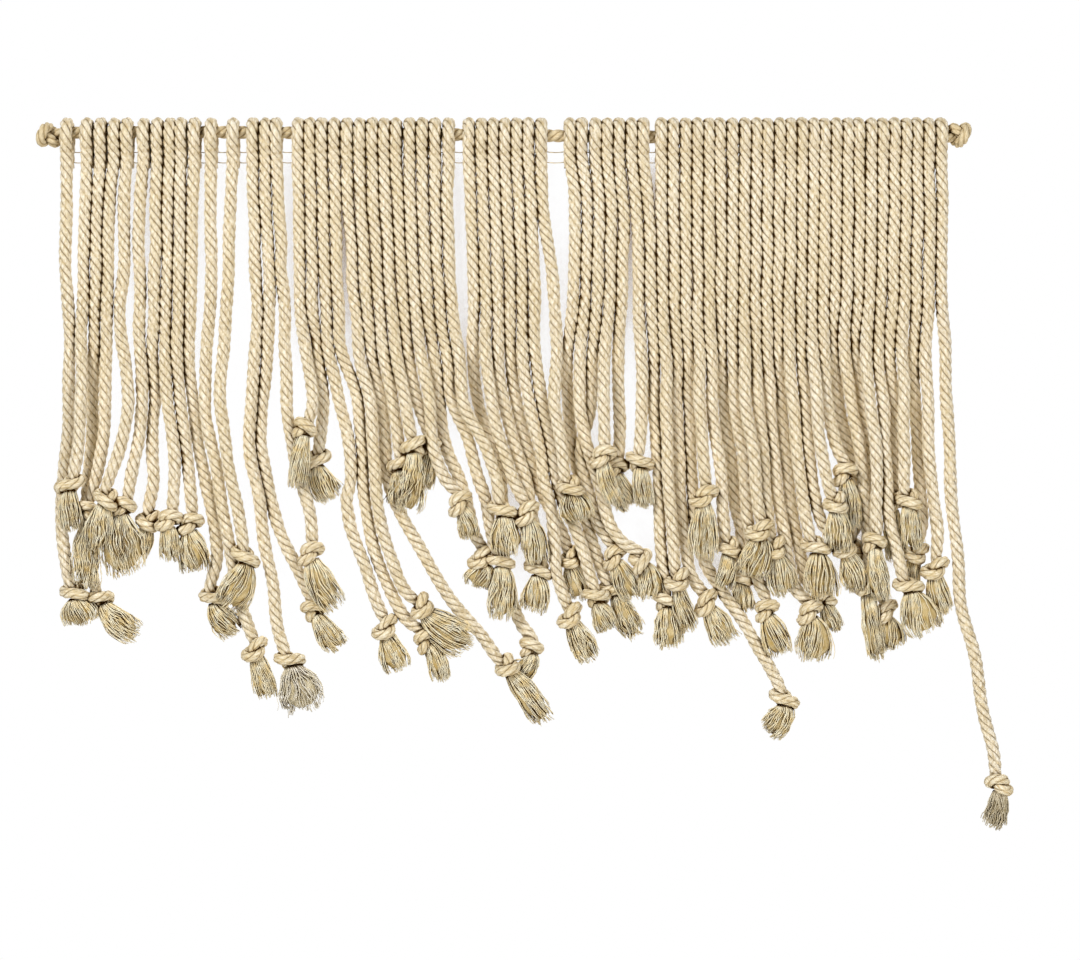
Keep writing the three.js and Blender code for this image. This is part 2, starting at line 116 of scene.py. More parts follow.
# One row for each string, from left to right: its x at each level, as far as it goes before its
# knot; the further points (x, z) that it passes; the middle of its knot (x, z); the tip of its
# tuft (x, z) with the tuft's width there; and how far back its lower end lies. Places are those
# at which a string shows from the front.
String = namedtuple("String", "at low knot tuft deep")
STRINGS = [String(*row) for row in (
    ((-187.5, -187.5, -187.5, -186.5, -187, -188.5), [(-189, -156), (-189, -182), (-187, -197)],
     (-184, -204.5), (-181, -218.5, 16), 5),
    ((-179, -179.5, -181, -181.5, -181.5, -182.5), [], (-186, -158), (-184.5, -177.5, 9.5), -4),
    ((-173, -174, -175, -175.5, -176, -176.5), [(-178.5, -160), (-179, -173), (-177.5, -190)],
     (-173, -207.5), (-157, -222.5, 13), 8),
    ((-167, -169, -170, -170, -170.5, -172.5), [(-175, -156)],
     (-177.5, -170), (-180, -202.5, 11), 1),
    ((-161.5, -162.5, -163.5, -163.5, -162, -165), [(-169, -155)],
     (-170.5, -164), (-175, -186, 11), -6),
    ((-154.5, -156, -156.5, -156.5, -156, -157.5), [(-160, -156)],
     (-163, -168), (-162, -196.5, 19), -2),
    ((-148.5, -149, -150, -150.5, -150, -150.5), [(-150, -156)],
     (-152.5, -173.5), (-156, -188.5, 9), 3),
    ((-143, -144, -144.5, -145.5, -144.5, -142), [(-141.5, -156)],
     (-143.5, -173.5), (-142.5, -190.5, 9), -3),
    ((-138.5, -139, -139, -140, -139, -136.5), [(-134.5, -160)],
     (-134.5, -175), (-132, -195.5, 13), 0),
    ((-132.5, -133, -133.5, -134.5, -132.5, -130), [(-127.5, -160), (-124.5, -173), (-123, -190)],
     (-124, -206.5), (-115, -222.5, 12), 4),
    ((-125.5, -125.5, -125.5, -127, -127, -123.5), [(-121.5, -160), (-119, -177), (-113, -207.5)],
     (-106.5, -229), (-101, -249.5, 9.5), 0),
    ((-116, -117, -118.5, -120, -120, -117.5), [(-115, -160), (-113, -173)],
     (-110.5, -189), (-119, -210.5, 15.5), -5),
    ((-107.5, -107.5, -106, -106, -108.5, -108.5),
     [(-107, -156), (-104, -173), (-99.5, -199), (-96, -222.5)],
     (-91.5, -233.5), (-84.5, -255, 19), 0),
    ((-102, -102, -100, -101, -103, -103.5), [(-99, -164.5), (-94, -182), (-86, -199)],
     (-81, -212), (-70.5, -229, 11), 4),
    ((-97.5, -96, -94, -93.5, -92.5, -90.5), [(-86.5, -156), (-82.5, -173)],
     (-82.5, -187.5), (-72, -211, 13), -3),
    ((-88, -88, -87.5, -85, -81.5), [], (-85, -134.5), (-88, -159, 8.5), -8),
    ((-83, -83, -81.5, -80, -77, -75.5), [], (-80, -147.5), (-73.5, -164.5, 12), 2),
    ((-78, -77.5, -75.5, -75, -70, -66),
     [(-65.5, -156), (-67.5, -164.5), (-66, -173), (-62, -186), (-54.5, -207.5)],
     (-50.5, -219.5), (-45, -238, 12), 0),
    ((-72.5, -72, -70.5, -69, -62.5, -60.5),
     [(-60, -156), (-58.5, -173), (-55.5, -186), (-46.5, -207.5), (-40.5, -217)],
     (-33, -225), (-26, -242, 9), 1),
    ((-67, -66.5, -63, -61.5, -57.5, -55.5), [(-54, -164.5), (-49, -186), (-42, -203.5)],
     (-35, -210.5), (-14, -227, 15.5), -3),
    ((-61.5, -61, -58.5, -56.5, -52.5, -50.5),
     [(-49, -156), (-42.5, -173), (-35, -186), (-22.5, -207.5), (-9.5, -222.5)],
     (1.5, -236.5), (18.5, -260, 11), 4.5),
    ((-56, -55.5, -53, -51.5, -47, -44.5), [], (-44, -149.5), (-46, -167.5, 8), -1.5),
    ((-51, -50.5, -48, -46, -42), [], (-38.5, -142), (-40.5, -170, 10), -7),
    ((-46, -45, -43, -41.5, -37), [], (-32, -141.5), (-34, -159.5, 8), -1),
    ((-40, -40, -38, -36, -31.5, -29.5), [(-24.5, -156)], (-18.5, -166), (-14, -181, 8.5), -6),
    ((-34.5, -34, -32.5, -30.5, -28, -23.5), [(-18, -156), (-14.5, -169), (-12, -179.5)],
     (-9, -189.5), (-10.5, -202.5, 14.5), 3),
    ((-29, -28.5, -27.5, -25, -22.5, -14), [(-10.5, -156), (-7.5, -164.5), (-5, -177.5)],
     (-1, -190.5), (-1, -215.5, 12), 0.5),
    ((-23, -23, -21.5, -20, -18, -7), [(-2.5, -156)], (0, -169), (2.5, -188, 13.5), -5),
    ((-14.5, -13.5, -12.5, -13, -11, -4), [(-1, -156), (0, -182), (2.5, -203.5), (8, -218.5)],
     (12.5, -229), (5, -242, 10), 9),
    ((-9, -8, -7, -6, -4, 0), [(4.5, -156)], (10, -170.5), (15.5, -191.5, 11), -4),
    ((-4, -3, -2, -1.5, 1, 6), [(10, -156), (12.5, -169), (14.5, -182)],
     (15.5, -194.5), (13, -212.5, 12), 2),
    ((1, 1.5, 3, 3.5, 6, 11), [(14.5, -156), (19.5, -167), (25, -177.5)],
     (29, -189.5), (31.5, -207.5, 10), 6),
    ((6, 7, 9, 9, 11.5, 16), [(17.5, -156), (20.5, -164.5), (22, -182), (23.5, -197)],
     (29, -214.5), (38, -233.5, 11), -1),
    ((11, 12, 14, 14.5, 17, 21), [(23, -156), (26.5, -167), (31, -175.5), (37.5, -197)],
     (40.5, -206.5), (45.5, -220.5, 10), 1),
    ((16.5, 17, 22.5, 23, 23, 25.5), [], (29, -159), (32.5, -174, 15.5), -6),
    ((29, 31.5, 30.5, 27.5, 28.5, 30.5), [(33.5, -156), (36.5, -175.5), (43, -196)],
     (47.5, -203.5), (57.5, -224, 11), 7),
    ((34, 36.5, 35.5, 33.5, 33.5, 37), [(40, -154), (43, -164.5), (46.5, -175.5), (52, -183)],
     (59.5, -190.5), (64.5, -207, 11), -2.5),
    ((40, 41.5, 40.5, 39, 37, 34), [(35, -154), (37.5, -164.5), (41.5, -175.5)],
     (48, -189), (56, -207, 11), 2.5),
    ((45, 46, 46, 44, 43.5), [], (43, -146), (49, -167, 8), -8),
    ((50, 51, 51, 51, 51), [], (49, -151), (55, -168, 10), 2),
    ((55.5, 57.5, 60, 59.5, 60), [], (59, -148.5), (62, -167.5, 9), -3),
    ((60.5, 62.5, 65, 66, 65.5, 66.5), [(67.5, -164.5), (68, -186)],
     (70.5, -208.5), (72, -228, 13), 1),
    ((68.5, 69, 70, 70.5, 70.5, 71), [(71.5, -164.5), (73.5, -182)],
     (75, -199), (80.5, -220.5, 8), -3),
    ((73.5, 74, 75, 75, 75, 75.5), [(76.5, -164.5), (78.5, -184), (81, -197)],
     (87.5, -209), (97, -226, 12), 2),
    ((79, 79.5, 79.5, 80, 80, 80.5),
     [(81.5, -160), (83.5, -177.5), (86.5, -190.5), (95, -204.5), (104, -218.5), (116, -239)],
     (121, -250.5), (114, -265, 13), 4),
    ((84, 84.5, 85, 84.5, 84.5, 86), [], (86.5, -163), (86.5, -189.5, 13), -6),
    ((89, 89.5, 90, 89.5, 90.5, 92.5), [(94.5, -164.5)], (97, -185), (95, -202.5, 8), -2),
    ((93.5, 94.5, 95, 94.5, 95.5, 98), [(100, -164.5), (103, -179.5)],
     (102, -197.5), (105.5, -212.5, 9), 6),
    ((99, 100, 99.5, 99.5, 100, 103), [(105, -164.5), (106.5, -182), (110, -199)],
     (113.5, -212), (120, -231, 12), 1),
    ((104.5, 104.5, 104.5, 104, 104.5, 107.5), [(109.5, -164.5)],
     (110.5, -177.5), (107, -197.5, 16), -6),
    ((109.5, 110, 109.5, 109, 110, 112), [(113.5, -164.5)], (116.5, -185.5), (122, -205, 13), -2),
    ((114, 114.5, 114, 113.5, 115, 116.5), [(118, -164.5), (123, -188.5), (126.5, -203.5)],
     (132, -213), (133, -234, 16), 2),
    ((119.5, 120, 119, 118.5, 119.5, 121.5), [(123.5, -164.5), (128, -188.5), (131.5, -201)],
     (138, -207.5), (142, -221.5, 9), 6),
    ((124, 124.5, 124, 123.5, 125, 126.5), [(129, -164.5)], (134.5, -184.5), (138, -206, 14), -4),
    ((129, 129, 128.5, 128.5, 130, 131), [(134.5, -164.5), (138, -175.5)],
     (146.5, -185), (151.5, -203.5, 11), -2.5),
    ((134, 134, 133, 133.5, 135, 137), [(139.5, -156)], (143, -166), (143.5, -186, 11), -8.5),
    ((138.5, 138.5, 137.5, 137.5, 139.5, 144), [], (147, -153.5), (150.5, -176.5, 9.5), -2),
    ((143.5, 143, 142, 142, 144.5, 149.5), [(152.5, -156), (152.5, -173)],
     (150.5, -186), (154.5, -204.5, 8.5), 8),
    ((148.5, 148, 147, 147, 150, 154), [(155.5, -156), (156.5, -177.5)],
     (157, -201), (161, -233.5, 8), 2),
    ((153, 153, 151.5, 152, 154.5, 157.5), [(157.5, -164.5), (159, -190.5)],
     (164, -213), (168, -229, 13), 7),
    ((158.5, 158, 156.5, 156.5, 158.5, 161), [(161.5, -156), (160.5, -169)],
     (160, -183), (163, -207.5, 9), -5),
    ((163.5, 163, 161.5, 161, 163, 164), [(165.5, -164.5), (168, -179.5)],
     (174.5, -201.5), (183, -221.5, 17), -3),
    ((168.5, 168, 166.5, 166, 168, 168), [], (167.5, -166.5), (169.5, -190.5, 9), 3),
    ((173.5, 172.5, 171, 171.5, 172.5, 172.5), [], (174.5, -164.5), (177, -185.5, 9), -4),
    ((178, 177.5, 176.5, 176.5, 177.5, 178.5), [(180.5, -164.5), (180.5, -175.5)],
     (177.5, -187.5), (175.5, -202.5, 7), 5),
    ((183, 182.5, 182, 182, 183, 183.5), [(185.5, -164.5), (187, -179.5)],
     (186, -194), (190, -213.5, 10), 0),
    ((188.5, 188.5, 189, 190.5, 191, 192),
     [(193.5, -164.5), (195.5, -190.5), (197, -207.5), (202.5, -229), (205.5, -250.5), (211, -272)],
     (213.5, -287), (210.5, -305.5, 10), 0),
)]

HEADS = [string.at[0] for string in STRINGS]

# An overhand knot pulled tight, from where the cord enters at the top to where it leaves below:
# points (across, depth, up) in diameters of the cord.
OVERHAND = [
    (0.35, 0.2, 1.0), (0.43, -0.05, 0.27), (0.4, -0.6, -0.34),
    (-0.2, -0.93, -0.73), (-1.0, -0.68, -0.81), (-1.36, 0.0, -0.62), (-1.1, 0.7, -0.3),
    (-0.4, 0.94, -0.07), (0.4, 0.94, 0.07), (1.1, 0.7, 0.3), (1.36, 0.0, 0.62),
    (1.0, -0.68, 0.81), (0.2, -0.93, 0.73), (-0.4, -0.6, 0.34), (-0.43, -0.05, -0.27),
    (-0.3, 0.15, -1.0),
]
KNOT_UNIT = 3.35  # what one diameter is in a knot, where the turns press into each other
KNOT_CORD = 0.83  # the cord's thickness in a knot over a hanging cord's
KNOT_START = 1  # the point of the knot, inside its turns, at which its own mesh starts
KNOT_LEAN = 0.45  # share of the tuft's direction in the knot's, the rest being its string's
KNOT_ENTRY = 1.9  # how far above a knot's middle its cord runs in, in the knot's units
KNOT_ROOM = 2.2  # how near its middle a point of its string may lie, in the knot's units
RUN_IN = 2.0  # how far above the entry such a point lies at least
KNOT_TAPER = (7, 1)  # lengths of cord before a knot between which the cord thins to the knot's
# How far round its string each knot is turned, in degrees, where that shows: the strings at each.
KNOT_TURNS = {
    0: (30, 44, 46, 60), 30: (11, 18, 33, 50), 60: (20, 32, 43, 51, 65), 90: (7, 56),
    120: (5, 35, 47, 64), 150: (1, 10, 31, 54), 180: (12, 28, 45, 62), 210: (13,),
    240: (3, 34, 42), 270: (14, 29), 300: (6, 19, 40, 49, 57), 330: (8, 9, 15, 25, 38, 39, 52),
}

# The tuft. Turns round it are in radians.
YARN_RADIUS = 0.29
YARN_END = 0.55  # thickness of a yarn at its cut end, over the rest of it
YARNS = 96  # in one tuft
LOCKS = 16  # yarns that wave together lie in one lock
YARN_STEP = 1.8  # length of yarn between two bends of its mesh
YARN_SIZE = (0.8, 1.2)  # thickness of the thinnest and thickest yarns
CRIMP = 0.45  # height of a yarn's waves
LOCK_WAVES = (((8, 13), 0.9), ((14, 26), 1.5))  # lengths of a lock's waves, and heights over CRIMP
YARN_WAVES = (4, 7.5)  # lengths of a single yarn's own waves
# How frizzy the tufts of some strings are, and the least and most of the others.
FRIZZY = {4: 1.5, 5: 1.5, 6: 1.4, 10: 1.2, 13: 1.9, 22: 1.8, 23: 1.9, 29: 1.3, 36: 1.4, 45: 1.3,
          67: 1.5}
PLAIN = (0.7, 1.1)
LOCK_PLACE = (0.15, 0.85)  # where a lock lies in its own share of the tuft's width
LOCK_WAVE_SHARE = (0.5, 1.0)  # how high its waves are, over the heights above
LOCK_DRIFT = 0.16  # how far a lock of a tuft of frizz 1 drifts round it
LOCK_LONG = 1.03  # length of the longest lock, over the tuft's
CUT_SHORT = 0.08  # how much shorter than the tuft a lock may be cut
BESIDE_LOCK = 0.24  # how far round the tuft a yarn lies off the middle of its lock
DRAWN_IN = 0.45  # share of that which is gone at the yarn's end
YARN_LONG = (0.95, 1.02)  # length of a yarn over its lock's
YARN_WAVE_SHARE = (0.25, 0.75)  # how high its own waves are, over CRIMP
OUTER_SHARE = 0.8  # share of the yarns that lie in the tuft's outer layer
OUTER_LAYER = (0.92, 1.05)  # where that layer lies, over half the tuft's width
INNER_LAYER = (0.6, 0.92)  # the same of the others
STRAY_SHARE = 0.08  # share of the yarns that stray outwards, at frizz 1
STRAY_LEAST = 1.1  # how far they do at least, over their layer
STRAY_MORE = 0.25  # and how much more they may at frizz 1
NECK_RADIUS = 2.5  # half a tuft's width where it leaves its knot
TUFT_DEPTH = 0.55  # depth of a tuft over its width
TUFT_FROM = 0.75  # how far below a knot's middle the yarns start, in the knot's units
TUFT_BEND = 0.42  # how far down its bend lies, over its length
TUFT_TIP = 0.3  # share of its length that lies below its widest place
TUFT_CLOSE = 0.22  # how much of its spread it loses again there
TUFT_TWIST = 0.35  # how far its yarns turn round it by halfway down, at most
CORE_SHARE = 0.88  # width of a tuft's body over the whole tuft's
CORE_SIDES = 34  # ribs round it
CORE_ROWS = 12
CORE_RIB = (0.93, 1.0)  # how far out its ribs stand
CORE_END = (0.86, 0.95)  # how far down the tuft its body's ribs end
CORE_ROUNDED = 0.28  # share of its length over which its end is rounded
CORE_TIP = 0.45  # its width at the tip over its full width

# The camera looks straight at the front.
VIEW_CENTRE = (16.1, -156.1)
VIEW_WIDTH = 464.4  # at the depth of the heading's front
LENS = 100.0
SENSOR = 36.0
VIEW_AWAY = VIEW_WIDTH / SENSOR * LENS

# Cotton. A pattern's fineness is how many times it repeats in a metre.
CREASE_REACH = 2.4  # how far off other cotton still counts for the painted shade in a crease
CREASE_SHADE_FINENESS = 150.0  # the painted shade in creases is stronger and weaker over every 7 mm
GROOVE_SHADE_FINENESS = 300.0  # the painted shade in the grooves is stronger and weaker over every 3 mm
FIBRE_FINENESS = 1100.0  # fibres mottle a cord over every 0.9 mm
LOOSE_FIBRE_FINENESS = 1600.0
LOOSE_LOCK_FINENESS = 360.0  # locks of yarn are 2.8 mm wide, and a little less inside a tuft
INNER_LOCK_FINENESS = 420.0
CORD_TONES = (150.0, 40.0, 16.0)  # cords differ from each other, and slowly along each one
YARNS_ROUND_CORD = 18.0
YARNS_ROUND_TUFT = 60.0

rng = random.Random(67)


# ---- Colours and materials ----

def linear(hex_colour):
    """An sRGB hex colour as the four linear values that a shader takes."""
    values = [int(hex_colour[i:i + 2], 16) / 255 for i in (1, 3, 5)]
    return [v / 12.92 if v <= 0.04045 else ((v + 0.055) / 1.055) ** 2.4 for v in values] + [1.0]


def node(tree, kind, links=(), **settings):
    """Adds a node. settings are its own properties. links are pairs of one of its inputs and what
    that takes: a value, a socket, or a node, whose first output it is."""
    made = tree.nodes.new(kind)
    for name, value in settings.items():
        setattr(made, name, value)
    for socket, value in links:
        if isinstance(value, bpy.types.Node):
            value = value.outputs[0]
        if isinstance(value, bpy.types.NodeSocket):
            tree.links.new(value, made.inputs[socket])
        else:
            made.inputs[socket].default_value = value
    return made


def new_material(name):
    material = bpy.data.materials.new(name)
    material.use_nodes = True
    material.node_tree.nodes.clear()
    return material, material.node_tree


def finish_cotton(tree, place, colour, height, depth, hidden, open_from):
    """Matt cotton: hardly any gloss, a faint soft sheen from its fibres' ends, and painted shade
    in creases where other cotton lies near: gold and then brown multiplied into the colour,
    unevenly over every 7 mm. hidden and open_from are the open shares of the surroundings at
    which that painted brown is full and gone."""
    # Painted shade: where ambient occlusion finds cotton near, the colour is darkened towards
    # brown.
    near = node(tree, "ShaderNodeAmbientOcclusion", [("Distance", CREASE_REACH * MM)], samples=6)
    patches = node(tree, "ShaderNodeTexNoise", [("Vector", place), ("Scale", CREASE_SHADE_FINENESS)])
    uneven = node(tree, "ShaderNodeMath", [(0, patches), (1, -0.5)], operation="ADD")
    openness = node(tree, "ShaderNodeMath", [(0, uneven), (1, 0.9), (2, near.outputs["AO"])],
                    operation="MULTIPLY_ADD")
    painted_crease_shade = node(tree, "ShaderNodeValToRGB", [("Fac", openness)])
    stops = painted_crease_shade.color_ramp.elements
    stops[0].position, stops[0].color = hidden, linear("#503400")
    stops[1].position, stops[1].color = open_from, linear("#FFFFFF")
    halfway = stops.new((hidden + open_from) / 2)
    halfway.color = linear("#CBBEA2")
    shaded = node(tree, "ShaderNodeMix",
                  [("Factor", 1.0), (6, colour), (7, painted_crease_shade.outputs["Color"])],
                  data_type="RGBA", blend_type="MULTIPLY")
    bump = node(tree, "ShaderNodeBump",
                [("Strength", 0.7), ("Distance", depth * MM), ("Height", height)])
    shader = node(tree, "ShaderNodeBsdfPrincipled",
                  [("Base Color", shaded.outputs[2]), ("Roughness", 0.92),
                   ("Specular IOR Level", 0.08), ("Sheen Weight", 0.01), ("Sheen Roughness", 0.5),
                   ("Normal", bump)])
    node(tree, "ShaderNodeOutputMaterial", [("Surface", shader)])


def cord_places(tree):
    """How far along its cord or tuft a point lies, in mm, and how far round it, in turns."""
    uv = node(tree, "ShaderNodeUVMap", uv_map="along_and_round")
    parts = node(tree, "ShaderNodeSeparateXYZ", [("Vector", uv)])
    return parts.outputs["X"], parts.outputs["Y"]


def drawn_out(tree, around, along, times_round, times_a_mm, detail):
    """Noise that is drawn out along yarns."""
    across = node(tree, "ShaderNodeMath", [(0, around), (1, times_round)], operation="MULTIPLY")
    down = node(tree, "ShaderNodeMath", [(0, along), (1, times_a_mm)], operation="MULTIPLY")
    place = node(tree, "ShaderNodeCombineXYZ", [("X", across), ("Y", down)])
    return node(tree, "ShaderNodeTexNoise",
                [("Vector", place), ("Scale", 1.0), ("Detail", detail)])


def off_middle(tree, bands):
    """0 in the middle of each band and 1 where it meets the next. A band is 1 wide."""
    share = node(tree, "ShaderNodeMath", [(0, bands)], operation="FRACT")
    two_way = node(tree, "ShaderNodeMath", [(0, share), (1, 2.0), (2, -1.0)],
                   operation="MULTIPLY_ADD")
    return node(tree, "ShaderNodeMath", [(0, two_way)], operation="ABSOLUTE")


def twisted_cotton(name, ridge, shade, groove, groove_strength, hidden, open_from):
    """Undyed cotton laid in four strands: cream on the strands, with painted golden shade beside
    the grooves and a painted brown shade line in them, streaked by yarns 1 mm wide and mottled by
    their fibres."""
    material, tree = new_material(name)
    along, around = cord_places(tree)
    strands = node(tree, "ShaderNodeMath", [(0, around), (1, float(STRANDS))], operation="MULTIPLY")
    off_crest = off_middle(tree, strands)
    # Yarns run nearly straight down the cord, across the strands.
    yarn_turn = node(tree, "ShaderNodeMath", [(0, along), (1, -LAY_WAY / LAY_LENGTH), (2, around)],
                     operation="MULTIPLY_ADD")
    yarns = drawn_out(tree, yarn_turn, along, YARNS_ROUND_CORD, 0.3, 3.0)

    place = node(tree, "ShaderNodeTexCoord").outputs["Object"]
    hanging = node(tree, "ShaderNodeMapping", [("Vector", place), ("Scale", CORD_TONES)])
    lengths = node(tree, "ShaderNodeTexNoise", [("Vector", hanging), ("Scale", 1.0)])
    wear_and_painted_shade = node(tree, "ShaderNodeTexNoise",
                [("Vector", place), ("Scale", GROOVE_SHADE_FINENESS), ("Detail", 3.0)])
    fibres = node(tree, "ShaderNodeTexNoise",
                  [("Vector", place), ("Scale", FIBRE_FINENESS), ("Detail", 3.0)])

    speck = node(tree, "ShaderNodeMath", [(0, fibres), (1, 3.0), (2, -1.75)],
                 operation="MULTIPLY_ADD")
    mottle = node(tree, "ShaderNodeMath", [(0, lengths), (1, 1.6), (2, speck)],
                  operation="MULTIPLY_ADD")
    streak = node(tree, "ShaderNodeMath", [(0, yarns), (1, 3.2), (2, -1.3)],
                  operation="MULTIPLY_ADD", use_clamp=True)
    # Painted shade: golden on each strand's flanks beside the groove, and a brown line in the
    # groove itself, stronger and weaker along it.
    flank = node(tree, "ShaderNodeMath", [(0, off_crest), (1, 2.6)], operation="POWER")
    golden = node(tree, "ShaderNodeMath", [(0, flank), (1, 0.5)], operation="MULTIPLY")
    line = node(tree, "ShaderNodeMath", [(0, off_crest), (1, 7.0)], operation="POWER")
    depth = node(tree, "ShaderNodeMath", [(0, wear_and_painted_shade), (1, 6.0), (2, -2.1)],
                 operation="MULTIPLY_ADD", use_clamp=True)
    groove_shade_line = node(tree, "ShaderNodeMath", [(0, line), (1, depth)], operation="MULTIPLY")
    in_groove = node(tree, "ShaderNodeMath", [(0, groove_shade_line), (1, groove_strength)],
                     operation="MULTIPLY")
    colour = linear(ridge[0])
    for share, over in ((mottle, ridge[1]), (streak, ridge[2]), (golden, shade),
                        (in_groove, groove)):
        laid_over = node(tree, "ShaderNodeMix",
                         [("Factor", share), (6, colour), (7, linear(over))], data_type="RGBA")
        colour = laid_over.outputs[2]
    height = node(tree, "ShaderNodeMath", [(0, yarns), (1, 1.4), (2, fibres)],
                  operation="MULTIPLY_ADD")
    finish_cotton(tree, place, colour, height, 0.5, hidden, open_from)
    return material


def lock_tones(tree, place, fineness, dark, light):
    """Locks of yarn, some darker and some lighter: their pattern, and the colour that it gives."""
    locks = node(tree, "ShaderNodeTexNoise",
                 [("Vector", place), ("Scale", fineness), ("Detail", 3.0)])
    share = node(tree, "ShaderNodeMath", [(0, locks), (1, 2.8), (2, -0.85)],
                 operation="MULTIPLY_ADD", use_clamp=True)
    tone = node(tree, "ShaderNodeMix", [("Factor", share), (6, linear(dark)), (7, linear(light))],
                data_type="RGBA")
    return locks, tone.outputs[2]


def loose_yarn(name, dark, light):
    """Yarns let out of the twist: gently crimped and matt, in locks lighter and darker."""
    material, tree = new_material(name)
    place = node(tree, "ShaderNodeTexCoord").outputs["Object"]
    _, tone = lock_tones(tree, place, LOOSE_LOCK_FINENESS, dark, light)
    fibres = node(tree, "ShaderNodeTexNoise", [("Vector", place), ("Scale", LOOSE_FIBRE_FINENESS)])
    finish_cotton(tree, place, tone, fibres, 0.15, 0.40, 0.58)
    return material


def gathered_yarn(name, dark, light, between):
    """The body of a tuft: yarns 0.5 mm wide that lie side by side down it, with a line of painted
    shade between one and the next."""
    material, tree = new_material(name)
    along, around = cord_places(tree)
    bends = drawn_out(tree, around, along, 7.0, 0.22, 1.0)
    bent = node(tree, "ShaderNodeMath", [(0, bends), (1, 3.5)], operation="MULTIPLY")
    yarn = node(tree, "ShaderNodeMath", [(0, around), (1, YARNS_ROUND_TUFT), (2, bent)],
                operation="MULTIPLY_ADD")
    line = node(tree, "ShaderNodeMath", [(0, off_middle(tree, yarn)), (1, 3.0)],
                operation="POWER")
    place = node(tree, "ShaderNodeTexCoord").outputs["Object"]
    locks, tone = lock_tones(tree, place, INNER_LOCK_FINENESS, dark, light)
    line_share = node(tree, "ShaderNodeMath", [(0, line), (1, locks)], operation="MULTIPLY")
    lined = node(tree, "ShaderNodeMix", [("Factor", line_share), (6, tone),
                                         (7, linear(between))], data_type="RGBA")
    height = node(tree, "ShaderNodeMath", [(0, 1.0), (1, line)], operation="SUBTRACT")
    finish_cotton(tree, place, lined.outputs[2], height, 0.25, 0.46, 0.68)
    return material


cord_cotton = twisted_cotton("twisted_cotton_cord", ("#E8D9B7", "#FCF4E3", "#C6B086"),
                             "#DBC597", "#533812", 1.0, 0.34, 0.71)
# A knot's cotton gets its painted crease shade over a wider range of openness than a hanging
# cord's.
knot_cotton = twisted_cotton("twisted_cotton_in_knot", ("#EBDAB2", "#FDF4DD", "#C8AE7C"),
                             "#DAC08A", "#5C3C12", 0.9, 0.48, 0.76)
holding_cotton = twisted_cotton("twisted_cotton_holding_cord", ("#DCCAA4", "#EADBBA", "#C7B186"),
                                "#C9AE7A", "#7A5C31", 0.9, 0.34, 0.71)


def tuft_cotton(kind, outer, inner):
    """The materials of a tuft: its outer yarns and its body, whose tones are darker and more
    golden as painted shade inside the tuft.
    """
    return [loose_yarn(kind + "_cotton_yarn", *outer),
            gathered_yarn(kind + "_gathered_cotton_yarn", *inner)]


loose_cotton = tuft_cotton("loose", ("#EED59C", "#FFF8DE"), ("#C9AA67", "#ECD8A6", "#6A4817"))
# The tuft of string 13 is greyed with wear; that of string 67 is painted darker and greyer as
# shade.
worn_and_shade_painted_cotton = {13: tuft_cotton("wear_and_painted_shade", ("#D9CDAE", "#F8F1E0"), ("#C6B68E", "#E8DDC0", "#8F7C54")),
               67: tuft_cotton("shade_painted_grey", ("#B9A985", "#E4D9BF"), ("#A8966E", "#CFC1A0", "#7A673F"))}


# ---- Lines ----

def smooth_line(points, step):
    """A centripetal Catmull-Rom line through the points, as points that lie step apart."""
    given = [np.array(p, float) for p in points]
    ends = [2 * given[0] - given[1], *given, 2 * given[-1] - given[-2]]
    found = []
    for p0, p1, p2, p3 in zip(ends, ends[1:], ends[2:], ends[3:]):
        gaps = [np.linalg.norm(b - a) for a, b in ((p0, p1), (p1, p2), (p2, p3))]
        t0, t1, t2, t3 = np.cumsum([0.0] + [max(1e-6, gap) ** 0.5 for gap in gaps])
        for t in np.linspace(t1, t2, 24, endpoint=False):
            a1 = (t1 - t) / (t1 - t0) * p0 + (t - t0) / (t1 - t0) * p1
            a2 = (t2 - t) / (t2 - t1) * p1 + (t - t1) / (t2 - t1) * p2
            a3 = (t3 - t) / (t3 - t2) * p2 + (t - t2) / (t3 - t2) * p3
            b1 = (t2 - t) / (t2 - t0) * a1 + (t - t0) / (t2 - t0) * a2
            b2 = (t3 - t) / (t3 - t1) * a2 + (t - t1) / (t3 - t1) * a3
            found.append((t2 - t) / (t2 - t1) * b1 + (t - t1) / (t2 - t1) * b2)
    found.append(given[-1])
    return spaced(np.array(found), step)


def spaced(line, step):
    """The line as points that lie step apart."""
    along = length_along(line)
    at = np.linspace(0, along[-1], max(2, round(along[-1] / step) + 1))
    return np.stack([np.interp(at, along, line[:, k]) for k in range(3)], axis=1)


def length_along(line):
    return np.concatenate([[0.0], np.cumsum(np.linalg.norm(np.diff(line, axis=0), axis=1))])


def unit(vector):
    return vector / np.linalg.norm(vector)


def evened(values):
    """The values, each the mean of itself and the four on either side."""
    return np.convolve(np.pad(values, 4, mode="edge"), np.ones(9) / 9, mode="valid")


def any_turn():
    return rng.uniform(0, 2 * math.pi)


def waver(along, shortest, longest):
    """A slow wave of height about 1 along a line, from three random sines."""
    total = np.zeros(len(along))
    for _ in range(3):
        length, phase = rng.uniform(shortest, longest), any_turn()
        total += np.sin(2 * math.pi * along / length + phase) / 1.7
    return total


def layer(deep, z):
    """How far back a string lies at a height z."""
    t = min(1.0, max(0.0, (-z - LAYER_FROM) / (LAYER_TO - LAYER_FROM)))
    return deep * t * t * (3 - 2 * t)


def hung_at(string, x, z):
    """The point of a string that shows at (x, z) from the front, in front or at the back."""
    deep = layer(string.deep, z)
    return np.array([VIEW_CENTRE[0] + (x - VIEW_CENTRE[0]) * (1 + deep / VIEW_AWAY), deep, z])


